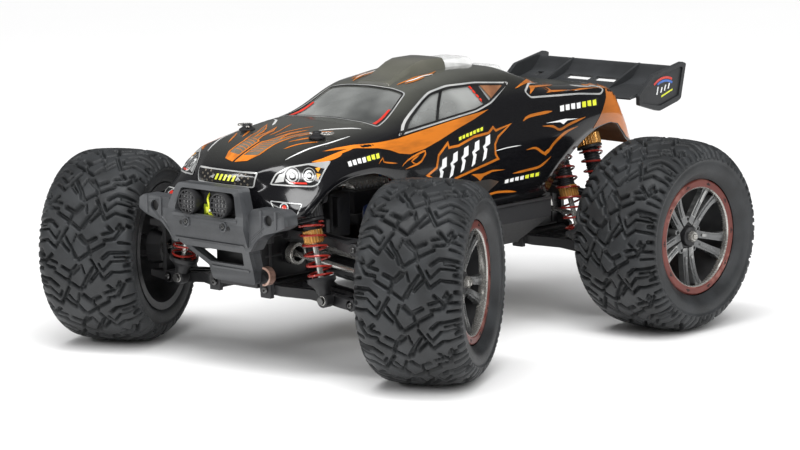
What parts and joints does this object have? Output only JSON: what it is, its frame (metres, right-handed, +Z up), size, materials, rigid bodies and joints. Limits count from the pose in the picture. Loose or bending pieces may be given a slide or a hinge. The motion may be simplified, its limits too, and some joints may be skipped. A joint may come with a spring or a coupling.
{
  "type": "rc monster truck",
  "caption": "Radio-controlled monster truck with a formed shell on a tub chassis, independent sprung suspension, steered front wheels, chunky tyres and a rear wing.",
  "frame": {"origin": "on the ground, under the middle of the bounding box", "axes": "+X towards the truck's left, -Y towards its front, +Z up; front wheels steered left at rest"},
  "size_m": [0.3437, 0.4075, 0.1685],
  "materials": {
    "tyre_rubber": "matte moulded rubber",
    "rim_gunmetal": "satin gunmetal",
    "spring_red": "gloss red powder coat",
    "body_paint": "gloss black and orange film on clear sheet",
    "bumper_plastic": "fine grained dark grey",
    "wing_plastic": "fine grained dark grey",
    "shock_body": "black anodised, gold collars",
    "shock_rod": "polished rod, black lower cup",
    "bright_steel": "bright turned steel",
    "battery_sleeve": "shrink sleeve",
    "motor_can": "plated can",
    "chassis_plastic": "moulded dark grey nylon",
    "running_gear_plastic": "moulded black nylon"
  },
  "bodies": {
    "chassis": {"chassis": "chassis_plastic", "body_shell": "body_paint", "front_bumper": "bumper_plastic", "rear_wing": "wing_plastic", "front_gearbox": "running_gear_plastic", "rear_gearbox": "running_gear_plastic", "front_shock_tower": "running_gear_plastic", "rear_shock_tower": "running_gear_plastic", "battery": "battery_sleeve", "motor": "motor_can", "steering_servo": "running_gear_plastic"},
    "front_left_lower_arm": {"front_left_lower_arm": "running_gear_plastic"},
    "front_left_upper_arm": {"front_left_upper_arm": "running_gear_plastic"},
    "front_left_caster_block": {"front_left_caster_block": "running_gear_plastic"},
    "front_left_knuckle": {"front_left_knuckle": "running_gear_plastic"},
    "front_left_wheel": {"front_left_tyre": "tyre_rubber", "front_left_rim": "rim_gunmetal"},
    "front_left_driveshaft": {"front_left_driveshaft": "bright_steel"},
    "front_left_shock_upper": {"front_left_shock_body": "shock_body", "front_left_shock_spring": "spring_red"},
    "front_left_shock_lower": {"front_left_shock_rod": "shock_rod"},
    "front_right_lower_arm": {"front_right_lower_arm": "running_gear_plastic"},
    "front_right_upper_arm": {"front_right_upper_arm": "running_gear_plastic"},
    "front_right_caster_block": {"front_right_caster_block": "running_gear_plastic"},
    "front_right_knuckle": {"front_right_knuckle": "running_gear_plastic"},
    "front_right_wheel": {"front_right_tyre": "tyre_rubber", "front_right_rim": "rim_gunmetal"},
    "front_right_driveshaft": {"front_right_driveshaft": "bright_steel"},
    "front_right_shock_upper": {"front_right_shock_body": "shock_body", "front_right_shock_spring": "spring_red"},
    "front_right_shock_lower": {"front_right_shock_rod": "shock_rod"},
    "rear_left_lower_arm": {"rear_left_lower_arm": "running_gear_plastic"},
    "rear_left_upper_arm": {"rear_left_upper_arm": "running_gear_plastic"},
    "rear_left_hub_carrier": {"rear_left_hub_carrier": "running_gear_plastic"},
    "rear_left_wheel": {"rear_left_tyre": "tyre_rubber", "rear_left_rim": "rim_gunmetal"},
    "rear_left_driveshaft": {"rear_left_driveshaft": "bright_steel"},
    "rear_left_fore_shock_upper": {"rear_left_fore_shock_body": "shock_body", "rear_left_fore_shock_spring": "spring_red"},
    "rear_left_fore_shock_lower": {"rear_left_fore_shock_rod": "shock_rod"},
    "rear_left_aft_shock_upper": {"rear_left_aft_shock_body": "shock_body", "rear_left_aft_shock_spring": "spring_red"},
    "rear_left_aft_shock_lower": {"rear_left_aft_shock_rod": "shock_rod"},
    "rear_right_lower_arm": {"rear_right_lower_arm": "running_gear_plastic"},
    "rear_right_upper_arm": {"rear_right_upper_arm": "running_gear_plastic"},
    "rear_right_hub_carrier": {"rear_right_hub_carrier": "running_gear_plastic"},
    "rear_right_wheel": {"rear_right_tyre": "tyre_rubber", "rear_right_rim": "rim_gunmetal"},
    "rear_right_driveshaft": {"rear_right_driveshaft": "bright_steel"},
    "rear_right_fore_shock_upper": {"rear_right_fore_shock_body": "shock_body", "rear_right_fore_shock_spring": "spring_red"},
    "rear_right_fore_shock_lower": {"rear_right_fore_shock_rod": "shock_rod"},
    "rear_right_aft_shock_upper": {"rear_right_aft_shock_body": "shock_body", "rear_right_aft_shock_spring": "spring_red"},
    "rear_right_aft_shock_lower": {"rear_right_aft_shock_rod": "shock_rod"},
    "steering_link": {"steering_link": "running_gear_plastic"},
    "servo_horn": {"servo_horn": "running_gear_plastic"},
    "left_tie_rod": {"left_tie_rod": "bright_steel"},
    "right_tie_rod": {"right_tie_rod": "bright_steel"},
    "centre_shaft": {"centre_shaft": "bright_steel"}
  },
  "joints": [
    {"name": "front_left_suspension", "type": "hinge", "parent": "chassis", "child": "front_left_lower_arm", "pos_m": [0.022, -0.12935, 0.05], "axis": [0, -1, 0], "range_deg": [-9, 12], "stiffness_Nm_per_rad": 3, "springref_deg": -3.44},
    {"name": "front_left_upper_arm_swing", "type": "hinge", "parent": "chassis", "child": "front_left_upper_arm", "pos_m": [0.023, -0.12935, 0.083], "axis": [0, -1, 0], "range_deg": [-9.02, 12.02]},
    {"name": "front_left_caster_block_tilt", "type": "hinge", "parent": "front_left_lower_arm", "child": "front_left_caster_block", "pos_m": [0.0795, -0.12935, 0.045], "axis": [0, -1, 0], "range_deg": [-12.02, 9.02]},
    {"name": "front_left_steer", "type": "hinge", "parent": "front_left_caster_block", "child": "front_left_knuckle", "pos_m": [0.0945, -0.12935, 0.061], "axis": [0, 0, -1], "range_deg": [-0.05, 49.6]},
    {"name": "front_left_wheel_spin", "type": "hinge", "parent": "front_left_knuckle", "child": "front_left_wheel", "pos_m": [0.12172, -0.1156, 0.061], "axis": [0.8926, 0.4509, 0], "continuous": true},
    {"name": "front_left_driveshaft_swing", "type": "hinge", "parent": "chassis", "child": "front_left_driveshaft", "pos_m": [0.021, -0.12935, 0.069], "axis": [0, -1, 0], "range_deg": [-7.05, 9.39]},
    {"name": "front_left_shock_swing", "type": "hinge", "parent": "chassis", "child": "front_left_shock_upper", "pos_m": [0.0485, -0.14485, 0.107], "axis": [0, -1, 0], "range_deg": [-1.69, 2.25]},
    {"name": "front_left_shock_stroke", "type": "slide", "parent": "front_left_shock_upper", "child": "front_left_shock_lower", "axis": [-0.2349, 0, 0.972], "range_m": [-0.00625, 0.00831], "deforming": ["front_left_shock_spring"]},
    {"name": "front_right_suspension", "type": "hinge", "parent": "chassis", "child": "front_right_lower_arm", "pos_m": [-0.022, -0.12935, 0.05], "axis": [0, 1, 0], "range_deg": [-9, 12], "stiffness_Nm_per_rad": 3, "springref_deg": -3.44},
    {"name": "front_right_upper_arm_swing", "type": "hinge", "parent": "chassis", "child": "front_right_upper_arm", "pos_m": [-0.023, -0.12935, 0.083], "axis": [0, 1, 0], "range_deg": [-9.02, 12.02]},
    {"name": "front_right_caster_block_tilt", "type": "hinge", "parent": "front_right_lower_arm", "child": "front_right_caster_block", "pos_m": [-0.0795, -0.12935, 0.045], "axis": [0, 1, 0], "range_deg": [-12.02, 9.02]},
    {"name": "front_right_steer", "type": "hinge", "parent": "front_right_caster_block", "child": "front_right_knuckle", "pos_m": [-0.0945, -0.12935, 0.061], "axis": [0, 0, -1], "range_deg": [-0.05, 49.6]},
    {"name": "front_right_wheel_spin", "type": "hinge", "parent": "front_right_knuckle", "child": "front_right_wheel", "pos_m": [-0.12264, -0.14112, 0.061], "axis": [0.9225, 0.3859, 0], "continuous": true},
    {"name": "front_right_driveshaft_swing", "type": "hinge", "parent": "chassis", "child": "front_right_driveshaft", "pos_m": [-0.021, -0.12935, 0.069], "axis": [0, 1, 0], "range_deg": [-7.05, 9.39]},
    {"name": "front_right_shock_swing", "type": "hinge", "parent": "chassis", "child": "front_right_shock_upper", "pos_m": [-0.0485, -0.14485, 0.107], "axis": [0, 1, 0], "range_deg": [-1.69, 2.25]},
    {"name": "front_right_shock_stroke", "type": "slide", "parent": "front_right_shock_upper", "child": "front_right_shock_lower", "axis": [0.2349, 0, 0.972], "range_m": [-0.00625, 0.00831], "deforming": ["front_right_shock_spring"]},
    {"name": "rear_left_suspension", "type": "hinge", "parent": "chassis", "child": "rear_left_lower_arm", "pos_m": [0.022, 0.10095, 0.05], "axis": [0, -1, 0], "range_deg": [-9, 12], "stiffness_Nm_per_rad": 3, "springref_deg": -3.44},
    {"name": "rear_left_upper_arm_swing", "type": "hinge", "parent": "chassis", "child": "rear_left_upper_arm", "pos_m": [0.023, 0.10095, 0.083], "axis": [0, -1, 0], "range_deg": [-9.02, 12.02]},
    {"name": "rear_left_hub_carrier_tilt", "type": "hinge", "parent": "rear_left_lower_arm", "child": "rear_left_hub_carrier", "pos_m": [0.0795, 0.10095, 0.045], "axis": [0, -1, 0], "range_deg": [-12.02, 9.02]},
    {"name": "rear_left_wheel_spin", "type": "hinge", "parent": "rear_left_hub_carrier", "child": "rear_left_wheel", "pos_m": [0.125, 0.10095, 0.061], "axis": [1, 0, 0], "continuous": true},
    {"name": "rear_left_driveshaft_swing", "type": "hinge", "parent": "chassis", "child": "rear_left_driveshaft", "pos_m": [0.021, 0.10095, 0.069], "axis": [0, -1, 0], "range_deg": [-7.05, 9.39]},
    {"name": "rear_left_fore_shock_swing", "type": "hinge", "parent": "chassis", "child": "rear_left_fore_shock_upper", "pos_m": [0.046, 0.08545, 0.121], "axis": [0, -1, 0], "range_deg": [-1.97, 2.62]},
    {"name": "rear_left_fore_shock_stroke", "type": "slide", "parent": "rear_left_fore_shock_upper", "child": "rear_left_fore_shock_lower", "axis": [-0.3066, 0, 0.9518], "range_m": [-0.00713, 0.00949], "deforming": ["rear_left_fore_shock_spring"]},
    {"name": "rear_left_aft_shock_swing", "type": "hinge", "parent": "chassis", "child": "rear_left_aft_shock_upper", "pos_m": [0.046, 0.11645, 0.121], "axis": [0, -1, 0], "range_deg": [-1.97, 2.62]},
    {"name": "rear_left_aft_shock_stroke", "type": "slide", "parent": "rear_left_aft_shock_upper", "child": "rear_left_aft_shock_lower", "axis": [-0.3066, 0, 0.9518], "range_m": [-0.00713, 0.00949], "deforming": ["rear_left_aft_shock_spring"]},
    {"name": "rear_right_suspension", "type": "hinge", "parent": "chassis", "child": "rear_right_lower_arm", "pos_m": [-0.022, 0.10095, 0.05], "axis": [0, 1, 0], "range_deg": [-9, 12], "stiffness_Nm_per_rad": 3, "springref_deg": -3.44},
    {"name": "rear_right_upper_arm_swing", "type": "hinge", "parent": "chassis", "child": "rear_right_upper_arm", "pos_m": [-0.023, 0.10095, 0.083], "axis": [0, 1, 0], "range_deg": [-9.02, 12.02]},
    {"name": "rear_right_hub_carrier_tilt", "type": "hinge", "parent": "rear_right_lower_arm", "child": "rear_right_hub_carrier", "pos_m": [-0.0795, 0.10095, 0.045], "axis": [0, 1, 0], "range_deg": [-12.02, 9.02]},
    {"name": "rear_right_wheel_spin", "type": "hinge", "parent": "rear_right_hub_carrier", "child": "rear_right_wheel", "pos_m": [-0.125, 0.10095, 0.061], "axis": [1, 0, 0], "continuous": true},
    {"name": "rear_right_driveshaft_swing", "type": "hinge", "parent": "chassis", "child": "rear_right_driveshaft", "pos_m": [-0.021, 0.10095, 0.069], "axis": [0, 1, 0], "range_deg": [-7.05, 9.39]},
    {"name": "rear_right_fore_shock_swing", "type": "hinge", "parent": "chassis", "child": "rear_right_fore_shock_upper", "pos_m": [-0.046, 0.08545, 0.121], "axis": [0, 1, 0], "range_deg": [-1.97, 2.62]},
    {"name": "rear_right_fore_shock_stroke", "type": "slide", "parent": "rear_right_fore_shock_upper", "child": "rear_right_fore_shock_lower", "axis": [0.3066, 0, 0.9518], "range_m": [-0.00713, 0.00949], "deforming": ["rear_right_fore_shock_spring"]},
    {"name": "rear_right_aft_shock_swing", "type": "hinge", "parent": "chassis", "child": "rear_right_aft_shock_upper", "pos_m": [-0.046, 0.11645, 0.121], "axis": [0, 1, 0], "range_deg": [-1.97, 2.62]},
    {"name": "rear_right_aft_shock_stroke", "type": "slide", "parent": "rear_right_aft_shock_upper", "child": "rear_right_aft_shock_lower", "axis": [0.3066, 0, 0.9518], "range_m": [-0.00713, 0.00949], "deforming": ["rear_right_aft_shock_spring"]},
    {"name": "steering_link_slide", "type": "slide", "parent": "chassis", "child": "steering_link", "axis": [1, 0, 0], "range_m": [-0.00005, 0.01846]},
    {"name": "steering", "type": "hinge", "parent": "chassis", "child": "servo_horn", "pos_m": [0, -0.0882, 0.089], "axis": [0, -1, 0], "range_deg": [0, 65.8]},
    {"name": "left_tie_rod_swing", "type": "hinge", "parent": "steering_link", "child": "left_tie_rod", "pos_m": [0.0083, -0.09835, 0.068], "axis": [0, -1, 0], "range_deg": [-6.77, 9.02]},
    {"name": "right_tie_rod_swing", "type": "hinge", "parent": "steering_link", "child": "right_tie_rod", "pos_m": [-0.0267, -0.09835, 0.068], "axis": [0, 1, 0], "range_deg": [-6.77, 9.02]},
    {"name": "centre_shaft_spin", "type": "hinge", "parent": "chassis", "child": "centre_shaft", "pos_m": [0, -0.0142, 0.06], "axis": [0, 1, 0], "continuous": true}
  ],
  "couplings": [
    {"joint": "front_left_upper_arm_swing", "follows": "front_left_suspension", "ratio": 1},
    {"joint": "front_left_caster_block_tilt", "follows": "front_left_suspension", "ratio": -1},
    {"joint": "front_left_steer", "follows": "steering", "ratio": 0.75228},
    {"joint": "front_left_driveshaft_swing", "follows": "front_left_suspension", "ratio": 0.78122},
    {"joint": "front_left_shock_swing", "follows": "front_left_suspension", "ratio": 0.18551},
    {"joint": "front_left_shock_stroke", "follows": "front_left_suspension", "m_per_rad": 0.039442},
    {"joint": "front_right_upper_arm_swing", "follows": "front_right_suspension", "ratio": 1},
    {"joint": "front_right_caster_block_tilt", "follows": "front_right_suspension", "ratio": -1},
    {"joint": "front_right_steer", "follows": "steering", "ratio": 0.75228},
    {"joint": "front_right_driveshaft_swing", "follows": "front_right_suspension", "ratio": 0.78122},
    {"joint": "front_right_shock_swing", "follows": "front_right_suspension", "ratio": 0.18551},
    {"joint": "front_right_shock_stroke", "follows": "front_right_suspension", "m_per_rad": 0.039442},
    {"joint": "rear_left_upper_arm_swing", "follows": "rear_left_suspension", "ratio": 1},
    {"joint": "rear_left_hub_carrier_tilt", "follows": "rear_left_suspension", "ratio": -1},
    {"joint": "rear_left_driveshaft_swing", "follows": "rear_left_suspension", "ratio": 0.78122},
    {"joint": "rear_left_fore_shock_swing", "follows": "rear_left_suspension", "ratio": 0.21631},
    {"joint": "rear_left_fore_shock_stroke", "follows": "rear_left_suspension", "m_per_rad": 0.045053},
    {"joint": "rear_left_aft_shock_swing", "follows": "rear_left_suspension", "ratio": 0.21631},
    {"joint": "rear_left_aft_shock_stroke", "follows": "rear_left_suspension", "m_per_rad": 0.045053},
    {"joint": "rear_right_upper_arm_swing", "follows": "rear_right_suspension", "ratio": 1},
    {"joint": "rear_right_hub_carrier_tilt", "follows": "rear_right_suspension", "ratio": -1},
    {"joint": "rear_right_driveshaft_swing", "follows": "rear_right_suspension", "ratio": 0.78122},
    {"joint": "rear_right_fore_shock_swing", "follows": "rear_right_suspension", "ratio": 0.21631},
    {"joint": "rear_right_fore_shock_stroke", "follows": "rear_right_suspension", "m_per_rad": 0.045053},
    {"joint": "rear_right_aft_shock_swing", "follows": "rear_right_suspension", "ratio": 0.21631},
    {"joint": "rear_right_aft_shock_stroke", "follows": "rear_right_suspension", "m_per_rad": 0.045053},
    {"joint": "steering_link_slide", "follows": "steering", "m_per_rad": 0.016031},
    {"joint": "left_tie_rod_swing", "follows": "front_left_suspension", "ratio": 0.75033},
    {"joint": "right_tie_rod_swing", "follows": "front_right_suspension", "ratio": 0.75033}
  ]
}
